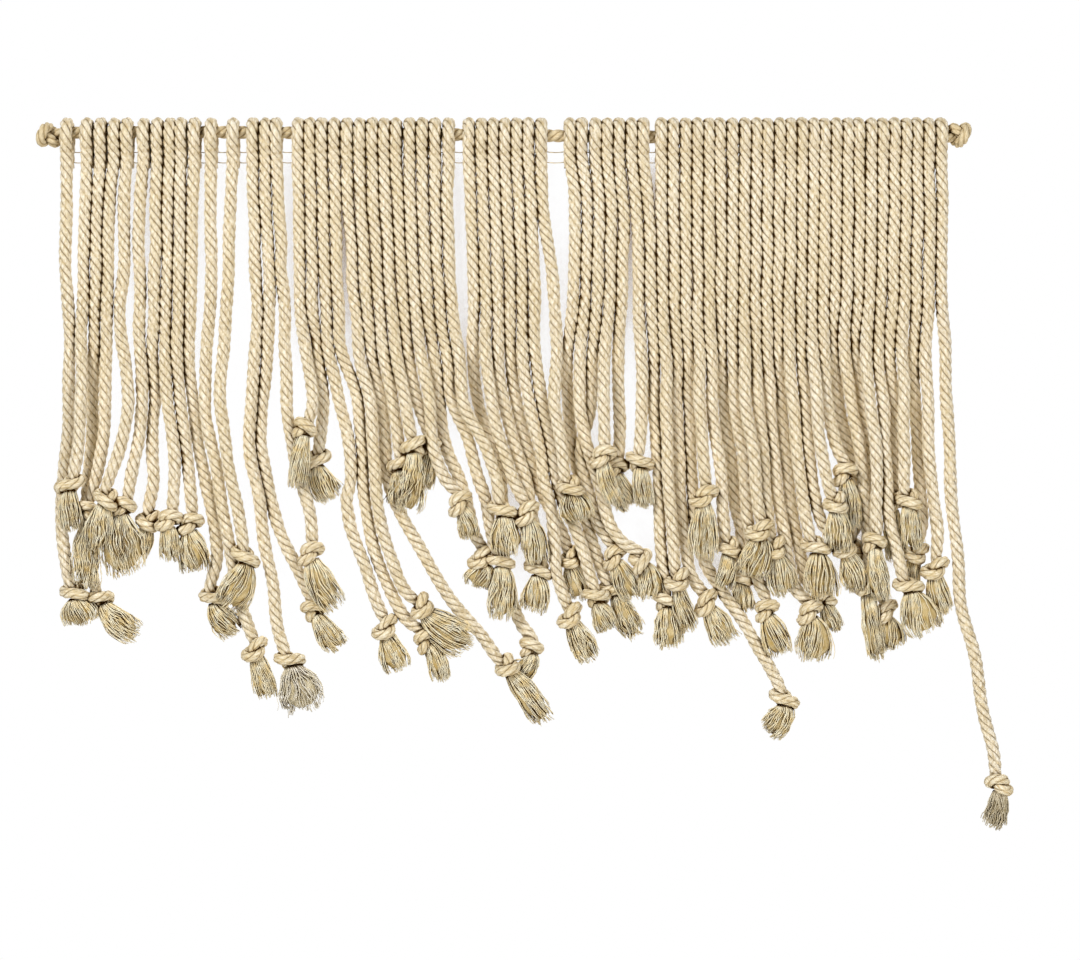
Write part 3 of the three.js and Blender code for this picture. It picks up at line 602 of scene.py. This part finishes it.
def shown_at(x, y):
    """Where a place x shows from the front when it lies y behind the comb's own depth."""
    return VIEW_CENTRE[0] + (x - VIEW_CENTRE[0]) / (1 + y / VIEW_AWAY)


# ---- Meshes ----

def add_to_scene(obj):
    bpy.context.scene.collection.objects.link(obj)
    return obj


def section(name, points):
    """A closed outline that a curve is swept with."""
    curve = bpy.data.curves.new(name, "CURVE")
    curve.dimensions = "2D"
    curve.fill_mode = "NONE"
    outline = curve.splines.new("POLY")
    outline.points.add(len(points) - 1)
    for point, (x, y) in zip(outline.points, points):
        point.co = (x * MM, y * MM, 0, 1)
    outline.use_cyclic_u = True
    return add_to_scene(bpy.data.objects.new(name, curve))


def strand_section(name, groove_depth):
    """The cord's cross-section: four rounded strands pressed together."""
    count = STRANDS * POINTS_ON_STRAND
    points = []
    for i in range(count):
        off_crest = abs(2 * (i % POINTS_ON_STRAND) / POINTS_ON_STRAND - 1)
        reach = CREST_RADIUS * (1 - groove_depth * off_crest ** STRAND_FULLNESS)
        turn = 2 * math.pi * i / count
        points.append((reach * math.cos(turn), reach * math.sin(turn)))
    return section(name, points)


laid = strand_section("laid_section", GROOVE_DEPTH)
pressed = strand_section("pressed_section", PRESSED_GROOVE_DEPTH)
yarn_section = section("yarn_section", [(YARN_RADIUS * math.cos(turn), YARN_RADIUS * math.sin(turn))
                                        for turn in np.radians((90, 210, 330))])


def new_curve(name, swept):
    curve = bpy.data.curves.new(name, "CURVE")
    curve.dimensions = "3D"
    curve.twist_mode = "MINIMUM"
    curve.bevel_mode = "OBJECT"
    curve.bevel_object = swept
    curve.use_fill_caps = True
    return curve


def add_spline(curve, line, size, tilt):
    spline = curve.splines.new("POLY")
    spline.points.add(len(line) - 1)
    for i, point in enumerate(spline.points):
        point.co = (*(line[i] * MM), 1)
        point.radius = size[i]
        point.tilt = tilt[i]


def mesh_of_curve(curve):
    """The curve's own surface as a mesh."""
    drawn = add_to_scene(bpy.data.objects.new("drawn", curve))
    mesh = bpy.data.meshes.new_from_object(
        drawn.evaluated_get(bpy.context.evaluated_depsgraph_get()))
    mesh.materials.clear()
    bpy.data.objects.remove(drawn)
    bpy.data.curves.remove(curve)
    return mesh


def close_and_smooth(mesh):
    """Joins the seams of a swept mesh, and leaves only its end caps flat."""
    work = bmesh.new()
    work.from_mesh(mesh)
    bmesh.ops.remove_doubles(work, verts=work.verts, dist=1e-6)
    bmesh.ops.recalc_face_normals(work, faces=work.faces)
    for face in work.faces:
        face.smooth = len(face.verts) == 4
    work.to_mesh(mesh)
    work.free()


def cord_mesh(line, size, swept, twisted_before=0.0):
    """A twisted cord along a line. size is its thickness at each point over the plain cord's, and
    twisted_before the length of cord that lies before the line."""
    curve = new_curve("cord", swept)
    along = length_along(line)
    add_spline(curve, line, size, LAY_WAY * 2 * math.pi * (twisted_before + along) / LAY_LENGTH)
    mesh = mesh_of_curve(curve)
    layer_uv = mesh.uv_layers[0]
    layer_uv.name = "along_and_round"
    uv = np.empty(2 * len(layer_uv.data))
    layer_uv.data.foreach_get("uv", uv)
    uv = uv.reshape(-1, 2)
    uv[:, 0] = uv[:, 0] * along[-1] + twisted_before
    layer_uv.data.foreach_set("uv", uv.ravel())
    close_and_smooth(mesh)
    return mesh


def piece(name, mesh, materials, stands_for):
    """A finished piece that takes the place of a solid."""
    for material in materials:
        mesh.materials.append(material)
    mesh.name = name
    obj = add_to_scene(bpy.data.objects.new(name, mesh))
    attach(obj, "root")
    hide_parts(stands_for)
    return obj


# ---- The strings ----

def head_points(x):
    """The head of a string: its short tail behind, the bend over the holding cord, its front."""
    bend = [(x, HOLDING_Y + CORD_DIAMETER * math.cos(turn),
             HOLDING_Z + CORD_DIAMETER * math.sin(turn))
            for turn in np.radians((0, 45, 90, 135, 180))]
    return [(x, TAIL_Y, TAIL_END), (x, TAIL_Y, (HOLDING_Z + TAIL_END) / 2), *bend,
            (x, 0.0, -HEAD_FRONT)]


def fall_points(string):
    """The points that a string passes between its head and its knot."""
    fall = [(x, -level) for x, level in zip(string.at, LEVELS)][1:]
    return [hung_at(string, x, z) for x, z in fall + string.low]


def knot_frame(string):
    """A knot's middle, its up direction, and the way from there to the tip of the tuft."""
    middle = hung_at(string, *string.knot)
    before = [p for p in fall_points(string) if np.linalg.norm(p - middle) > 2 * CORD_DIAMETER][-1]
    leave = np.array([string.tuft[0] - string.knot[0], 0.0, string.tuft[1] - string.knot[1]])
    up = unit((1 - KNOT_LEAN) * unit(before - middle) - KNOT_LEAN * unit(leave))
    return middle, up, leave


def knot_points(middle, up, roll, hand=1):
    """An overhand knot's points, turned about its up direction. hand -1 ties it the other way."""
    across = unit(np.cross(np.array([0.0, 1.0, 0.0]), up))
    back = np.cross(up, across)
    turned = math.cos(roll) * across + math.sin(roll) * back
    depth = np.cross(up, turned)
    return [middle + KNOT_UNIT * (hand * a * turned + b * depth + c * up) for a, b, c in OVERHAND]


def string_line(string, roll, hand):
    """The whole line of a string, and the index of the ring at which its knot starts."""
    middle, up, _ = knot_frame(string)
    knot = knot_points(middle, up, roll, hand)
    entry = middle + KNOT_ENTRY * KNOT_UNIT * up
    hang = [p for p in fall_points(string)
            if np.linalg.norm(p - middle) > KNOT_ROOM * KNOT_UNIT
            and np.dot(p - entry, up) > RUN_IN]
    line = smooth_line([*head_points(string.at[0]), *hang, *knot], RING_STEP)
    start = int(np.argmin(np.linalg.norm(line - knot[KNOT_START], axis=1)))
    along = length_along(line)
    below_head = np.clip((along - HEADING_HEIGHT - WANDER_FROM) / WANDER_FROM, 0, 1)
    above_knot = np.clip((along[start] - along - WANDER_END) / WANDER_FADE, 0, 1)
    free = below_head * above_knot
    line[:, 0] += WANDER * free * waver(along, *WANDER_ACROSS)
    line[:, 1] += free * (WANDER * waver(along, *WANDER_DEEP)
                          + rng.choice((-OWN_DEPTH, OWN_DEPTH)))
    return line, start


def tuft_axis(string):
    """A tuft's bent middle line, as a function that gives its point and the way across it at a
    share of its length, and that length."""
    middle, up, leave = knot_frame(string)
    start = middle - up * TUFT_FROM * KNOT_UNIT
    tip = middle + leave
    reach = np.linalg.norm(tip - start)
    bend = start - up * TUFT_BEND * reach

    def at(s):
        point = (1 - s) ** 2 * start + 2 * s * (1 - s) * bend + s * s * tip
        along = unit(2 * (1 - s) * (bend - start) + 2 * s * (tip - bend))
        return point, np.array([-along[2], 0.0, along[0]])
    return at, reach


def tuft_reach(string, s):
    """Half the tuft's width and half its depth at a share of its length."""
    width = string.tuft[2] / 2
    widest = 1 - TUFT_TIP
    open_share = (1 - (1 - min(1.0, s / widest)) ** 2
                  - TUFT_CLOSE * max(0.0, (s - widest) / TUFT_TIP) ** 2)
    wide = NECK_RADIUS + (width - NECK_RADIUS) * open_share
    return wide, NECK_RADIUS + (TUFT_DEPTH * width - NECK_RADIUS) * open_share


def new_lock(number, frizz):
    """What the yarns of one lock share: their place round the tuft, drift, length and long waves.
    Even locks lie in front and odd ones behind, side by side over the tuft's width."""
    sideways = 4 * (number // 2 + rng.uniform(*LOCK_PLACE)) / LOCKS - 1
    turn = (-1 if number % 2 else 1) * -math.acos(max(-1, min(1, sideways)))
    waves = [(CRIMP * frizz * rng.uniform(*LOCK_WAVE_SHARE) * much,
              rng.uniform(*span) / frizz ** 0.5, any_turn(), any_turn())
             for span, much in LOCK_WAVES]
    drift = rng.gauss(0, LOCK_DRIFT * frizz)
    return turn, drift, rng.uniform(1 - CUT_SHORT * frizz, LOCK_LONG), waves


def yarn_line(string, at, reach, twist, lock, frizz):
    """One yarn of a tuft, from inside the knot to its cut end."""
    turn, drift, cut, waves = lock
    aside = rng.gauss(0, BESIDE_LOCK)
    out = rng.uniform(*(OUTER_LAYER if rng.random() < OUTER_SHARE else INNER_LAYER))
    # The tuft's end is rounded: yarns at its sides are shorter.
    rounded = 1.04 - 0.15 * (out * math.cos(turn)) ** 2
    length = reach * cut * rng.uniform(*YARN_LONG) * rounded
    strays = rng.random() < STRAY_SHARE * frizz
    stray = rng.uniform(STRAY_LEAST, STRAY_LEAST + STRAY_MORE * frizz) if strays else 1.0
    waves = waves + [(CRIMP * frizz * rng.uniform(*YARN_WAVE_SHARE), rng.uniform(*YARN_WAVES),
                      any_turn(), any_turn())]
    count = max(6, round(length / YARN_STEP))
    points = []
    for s in np.linspace(0, 1, count):
        share = min(1.0, s * length / reach)
        beyond = s * length - reach * share
        point, across = at(share)
        along = np.array([across[2], 0.0, -across[0]])
        wide, thick = tuft_reach(string, share)
        angle = turn + aside * (1 - DRAWN_IN * share) + (twist + drift) * share * 2
        spread = out * (1 + (stray - 1) * share ** 2)
        point = point + along * beyond + across * math.cos(angle) * wide * spread
        point[1] += math.sin(angle) * thick * spread
        for height, wave, phase, way in waves:
            swing = height * min(1.0, s * 2.0) * math.sin(2 * math.pi * s * length / wave + phase)
            point = point + swing * (math.cos(way) * across + np.array([0, math.sin(way), 0]))
        points.append(point)
    return np.array(points)


def tuft_body(string, at, reach):
    """The tuft's dense body, on which the outer yarns lie: a ribbed tube with a ragged round
    end."""
    work = bmesh.new()
    bmesh.ops.create_grid(work, x_segments=CORE_SIDES, y_segments=CORE_ROWS, size=1.0)
    uv = work.loops.layers.uv.new("along_and_round")
    for face in work.faces:
        for loop in face.loops:
            loop[uv].uv = ((loop.vert.co.y + 1) / 2 * reach, (loop.vert.co.x + 1) / 2)
    ribs = [rng.uniform(*CORE_RIB) for _ in range(CORE_SIDES)]
    ends = [rng.uniform(*CORE_END) for _ in range(CORE_SIDES)]
    for vert in work.verts:
        around, down = (vert.co.x + 1) / 2, (vert.co.y + 1) / 2
        rib = round(around * CORE_SIDES) % CORE_SIDES
        s = ends[rib] * down
        point, across = at(s)
        wide, thick = tuft_reach(string, s)
        rounding = max(0.0, (down - (1 - CORE_ROUNDED)) / CORE_ROUNDED) ** 3
        close = CORE_SHARE * ribs[rib] * max(CORE_TIP, 1 - rounding)
        angle = 2 * math.pi * rib / CORE_SIDES
        place = point + across * math.cos(angle) * wide * close
        place[1] += math.sin(angle) * thick * close
        vert.co = place * MM
    bmesh.ops.remove_doubles(work, verts=work.verts, dist=1e-6)
    bmesh.ops.holes_fill(work, edges=[e for e in work.edges if e.is_boundary])
    bmesh.ops.recalc_face_normals(work, faces=work.faces)
    for face in work.faces:
        face.smooth = True
        face.material_index = 1
    return work


def tuft_mesh(string, frizz):
    """A tuft: its body in the second material, and the yarns round it in the first."""
    at, reach = tuft_axis(string)
    twist = rng.uniform(-TUFT_TWIST, TUFT_TWIST)
    locks = [new_lock(number, frizz) for number in range(LOCKS)]
    curve = new_curve("yarns", yarn_section)
    for i in range(YARNS):
        line = yarn_line(string, at, reach, twist, locks[i % LOCKS], frizz)
        size = np.linspace(1.0, YARN_END, len(line)) * rng.uniform(*YARN_SIZE)
        add_spline(curve, line, size, np.zeros(len(line)))
    mesh = mesh_of_curve(curve)
    mesh.uv_layers[0].name = "along_and_round"
    close_and_smooth(mesh)
    work = tuft_body(string, at, reach)
    work.from_mesh(mesh)
    work.to_mesh(mesh)
    work.free()
    return mesh


def settle(lines):
    """Moves the strings sideways a little, as strings that hang close together settle: those that
    cut into each other move apart, and those nearly in touch draw together. Returns how much
    each widens along its line to fill the room that is left."""
    heights = np.arange(-SETTLED_FROM, -SETTLED_TO, -SETTLE_STEP)
    falls = []
    for line, start in lines:
        low = line[int(HEAD_CORD / RING_STEP):start]
        lower_than_before = np.diff(np.minimum.accumulate(low[:, 2])) < -1e-6
        falls.append(low[np.concatenate([[True], lower_than_before])])
    ends = np.array([fall[-1, 2] for fall in falls])
    shifts = np.zeros((len(lines), len(heights)))
    fills = np.ones((len(lines), len(heights)))
    for k, z in enumerate(heights):
        at = np.array([np.interp(-z, -fall[:, 2], shown_at(fall[:, 0], fall[:, 1]))
                       for fall in falls])
        deep = np.array([np.interp(-z, -fall[:, 2], fall[:, 1]) for fall in falls])
        order = np.argsort(at)
        gone = np.maximum(ends[order][1:], ends[order][:-1]) > z
        apart = np.abs(np.diff(deep[order])) > OWN_LAYER
        drawn_from = np.where(apart, LAYERED_FROM, DRAWN_FROM)
        moved = at[order].copy()
        for _ in range(SETTLE_ROUNDS):
            short = PRESSED_PITCH - np.diff(moved)
            push = np.where(short > 0, PUSHED * short,
                            np.where(short > PRESSED_PITCH - drawn_from, DRAWN * short, 0.0))
            push[gone | (apart & (short > 0))] = 0.0
            moved[:-1] -= push
            moved[1:] += push
        shifts[order, k] = np.clip(moved - at[order], -MOST_SHIFT, MOST_SHIFT)
        room = np.diff(at[order] + shifts[order, k]) / PRESSED_PITCH
        room[gone | apart | (room > MOST_ROOM)] = 1.0
        fills[order[1:-1], k] = (room[:-1] + room[1:]) / 2
    widths = []
    for (line, _), shift, fill, end in zip(lines, shifts, fills, ends):
        above_end = np.clip((heights - end - SETTLE_END[0]) / SETTLE_END[1], 0, 1)
        below_top = np.clip((-heights - SETTLE_TOP[0]) / SETTLE_TOP[1], 0, 1)
        line[:, 0] += np.interp(-line[:, 2], -heights, evened(shift * above_end) * below_top)
        widened = 1 + (np.clip(fill, 1, MOST_FILL) - 1) * above_end
        widths.append(np.interp(-line[:, 2], -heights, evened(widened)))
    return widths


lines, hands = [], []
for string in STRINGS:
    number = len(hands) + 1
    own_turn = any_turn(), rng.choice((-1, 1))
    turns = [turn for turn, strings in KNOT_TURNS.items() if number in strings]
    hands.append((math.radians(turns[0]), 1) if turns else own_turn)
    lines.append(string_line(string, *hands[-1]))
widths = settle(lines)

for number, (string, (line, start), wide) in enumerate(zip(STRINGS, lines, widths), 1):
    label = f"{number:02d}"
    along = length_along(line)
    size = np.interp(along, [along[start] - taper for taper in KNOT_TAPER], [1.0, KNOT_CORD])
    size = size * wide * (1 + UNEVEN * waver(along, *UNEVEN_OVER))
    ahead = number * TWIST_SHARE % 1 * LAY_LENGTH / STRANDS
    cord = piece("string_" + label, cord_mesh(line[:start + 1], size[:start + 1], laid, ahead),
                 [cord_cotton], "string_comb")
    knot = piece("knot_" + label,
                 cord_mesh(line[start:], size[start:], pressed, ahead + along[start]),
                 [knot_cotton], "string_comb")
    tuft = piece("tuft_" + label, tuft_mesh(string, FRIZZY.get(number, rng.uniform(*PLAIN))),
                 worn_and_shade_painted_cotton.get(number, loose_cotton), "string_comb")


# ---- The heading ----

def holding_cord():
    """The cord that all the heads are folded over, with an overhand knot at each end."""
    reach = HOLDING_KNOT_GAP + HOLDING_KNOT_ALONG / 2
    left, right = HEADS[0] - END_MARGIN - reach, HEADS[-1] + END_MARGIN + reach
    axis = np.array([0.0, HOLDING_Y, HOLDING_Z])
    first = knot_points(axis + (left, 0, 0), np.array([1.0, 0, 0]), math.pi / 2)
    last = knot_points(axis + (right, 0, 0), np.array([-1.0, 0, 0]), math.pi / 2)
    line = smooth_line([*first[::-1], *last], RING_STEP)
    inside = (line[:, 0] > left + HOLDING_KNOT_HALF) & (line[:, 0] < right - HOLDING_KNOT_HALF)
    size = evened(np.where(inside, 1.0, KNOT_CORD))
    return piece("holding_cord_laid", cord_mesh(line, size, laid), [holding_cotton],
                 "holding_cord")


def stitch_row(name, z):
    """A sewing thread that runs behind the tails and dips between them."""
    behind = TAIL_Y + CREST_RADIUS + THREAD_ROOM
    between, lower = STITCH_DIP
    points = []
    for x, after in zip(HEADS, HEADS[1:]):
        points += [(x, behind, z), ((x + after) / 2, TAIL_Y + between, z + lower)]
    points.append((HEADS[-1], behind, z))
    line = smooth_line(points, STITCH_STEP)
    curve = new_curve(name, yarn_section)
    add_spline(curve, line, np.full(len(line), THREAD_SIZE), np.zeros(len(line)))
    mesh = mesh_of_curve(curve)
    close_and_smooth(mesh)
    return piece(name, mesh, loose_cotton[:1], "string_comb")


holding_cord()
for row, z in STITCH_ROWS.items():
    stitch_row("stitch_row_" + row, z)

for swept in (laid, pressed, yarn_section):
    bpy.data.objects.remove(swept)


# ---- Stage, light and camera ----

BACKDROP_Y = 18.0
BACKDROP_SIDES = (-420.0, 460.0)
BACKDROP_TOP = 160.0
FLOOR_Z = -420.0
FLOOR_REACH = 2500.0
FLOOR_SHADED = 350.0  # how far from the middle the floor starts to turn white
FLOOR_WHITE = 1100.0
OPEN_REACH = 70.0  # how near strings must lie to paint shade on the backdrop
# Each lamp's place in metres, its width in metres and its power in watts.
LAMPS = {"key": ((-0.7, -1.2, 0.8), 0.45, 19.3), "fill": ((0.7, -1.3, 0.0), 0.8, 8.3),
         "behind": ((0.6, 1.2, 0.7), 0.8, 24.0)}
LAMPS_AIM = (0.0, 0.0, -0.15)
ROOM_LIGHT = 0.11


def stage_plane(name, corners, material):
    work = bmesh.new()
    work.faces.new([work.verts.new(Vector(c) * MM) for c in corners])
    mesh = bpy.data.meshes.new(name)
    work.to_mesh(mesh)
    work.free()
    mesh.materials.append(material)
    obj = add_to_scene(bpy.data.objects.new(name, mesh))
    return obj


def backdrop_paint():
    """White paper with painted shade: white in the open, painted tan where the strings in front
    hide nearly all of it and brown where they hide it all. It shows from the front only."""
    material, tree = new_material("white_backdrop_paper")
    open_share = node(tree, "ShaderNodeAmbientOcclusion",
                      [("Distance", OPEN_REACH * MM)], samples=24).outputs["AO"]
    painted_paper_shade = node(tree, "ShaderNodeValToRGB", [("Fac", open_share)])
    stops = painted_paper_shade.color_ramp.elements
    stops[0].position, stops[0].color = 0.045, linear("#4A2E0C")
    stops[1].position, stops[1].color = 0.11, linear("#FFFFFF")
    middle = stops.new(0.085)
    middle.color = linear("#B89C7C")
    seen = node(tree, "ShaderNodeLightPath").outputs["Is Camera Ray"]
    paper = node(tree, "ShaderNodeEmission",
                 [("Color", painted_paper_shade.outputs["Color"]), ("Strength", seen)])
    clear = node(tree, "ShaderNodeBsdfTransparent")
    side = node(tree, "ShaderNodeNewGeometry").outputs["Backfacing"]
    both = node(tree, "ShaderNodeMixShader", [(0, side), (1, paper), (2, clear)])
    node(tree, "ShaderNodeOutputMaterial", [("Surface", both)])
    return material


def floor_paint():
    """A matt pale floor that runs out into the white of the studio."""
    material, tree = new_material("pale_floor")
    matt = node(tree, "ShaderNodeBsdfPrincipled",
                [("Base Color", linear("#E9E7E3")), ("Roughness", 0.9),
                 ("Specular IOR Level", 0.1)])
    place = node(tree, "ShaderNodeTexCoord").outputs["Object"]
    level = node(tree, "ShaderNodeVectorMath", [(0, place), (1, (1.0, 1.0, 0.0))],
                 operation="MULTIPLY")
    distance = node(tree, "ShaderNodeVectorMath", [(0, level)], operation="LENGTH")
    run_out = node(tree, "ShaderNodeMapRange",
                   [("Value", distance.outputs["Value"]), ("From Min", FLOOR_SHADED * MM),
                    ("From Max", FLOOR_WHITE * MM)], interpolation_type="SMOOTHSTEP")
    seen = node(tree, "ShaderNodeLightPath").outputs["Is Camera Ray"]
    white_share = node(tree, "ShaderNodeMath", [(0, run_out), (1, seen)], operation="MULTIPLY")
    white = node(tree, "ShaderNodeEmission", [("Color", linear("#FFFFFF")), ("Strength", 1.0)])
    both = node(tree, "ShaderNodeMixShader", [(0, white_share), (1, matt), (2, white)])
    node(tree, "ShaderNodeOutputMaterial", [("Surface", both)])
    return material


def set_stage():
    left, right = BACKDROP_SIDES
    backdrop = stage_plane("backdrop", [(left, BACKDROP_Y, FLOOR_Z), (right, BACKDROP_Y, FLOOR_Z),
                                        (right, BACKDROP_Y, BACKDROP_TOP),
                                        (left, BACKDROP_Y, BACKDROP_TOP)], backdrop_paint())
    for ray in ("diffuse", "glossy", "transmission", "shadow"):
        setattr(backdrop, "visible_" + ray, False)
    corners = ((-1, -1), (1, -1), (1, 1), (-1, 1))
    stage_plane("floor", [(x * FLOOR_REACH, y * FLOOR_REACH, FLOOR_Z) for x, y in corners],
                floor_paint())


def area_light(name, place, size, power):
    light = bpy.data.lights.new(name, "AREA")
    light.shape = "DISK"
    light.size = size
    light.energy = power
    obj = add_to_scene(bpy.data.objects.new(name, light))
    obj.location = place
    obj.rotation_euler = (Vector(LAMPS_AIM) - Vector(place)).to_track_quat("-Z", "Y").to_euler()


def set_light():
    world = bpy.data.worlds.new("studio")
    bpy.context.scene.world = world
    world.use_nodes = True
    tree = world.node_tree
    tree.nodes.clear()
    seen = node(tree, "ShaderNodeLightPath").outputs["Is Camera Ray"]
    soft = node(tree, "ShaderNodeBackground",
                [("Color", linear("#FFFFFF")), ("Strength", ROOM_LIGHT)])
    white = node(tree, "ShaderNodeBackground", [("Color", linear("#FFFFFF")), ("Strength", 1.0)])
    both = node(tree, "ShaderNodeMixShader", [(0, seen), (1, soft), (2, white)])
    node(tree, "ShaderNodeOutputWorld", [("Surface", both)])
    for name, (place, size, power) in LAMPS.items():
        area_light(name, place, size, power)


def set_camera():
    camera = bpy.data.cameras.new("camera")
    camera.lens = LENS
    camera.sensor_width = SENSOR
    obj = add_to_scene(bpy.data.objects.new("camera", camera))
    obj.location = (VIEW_CENTRE[0] * MM, -VIEW_AWAY * MM, VIEW_CENTRE[1] * MM)
    obj.rotation_euler = (math.radians(90), 0, 0)
    bpy.context.scene.camera = obj


set_stage()
set_light()
set_camera()
bpy.context.scene.view_settings.view_transform = "Standard"
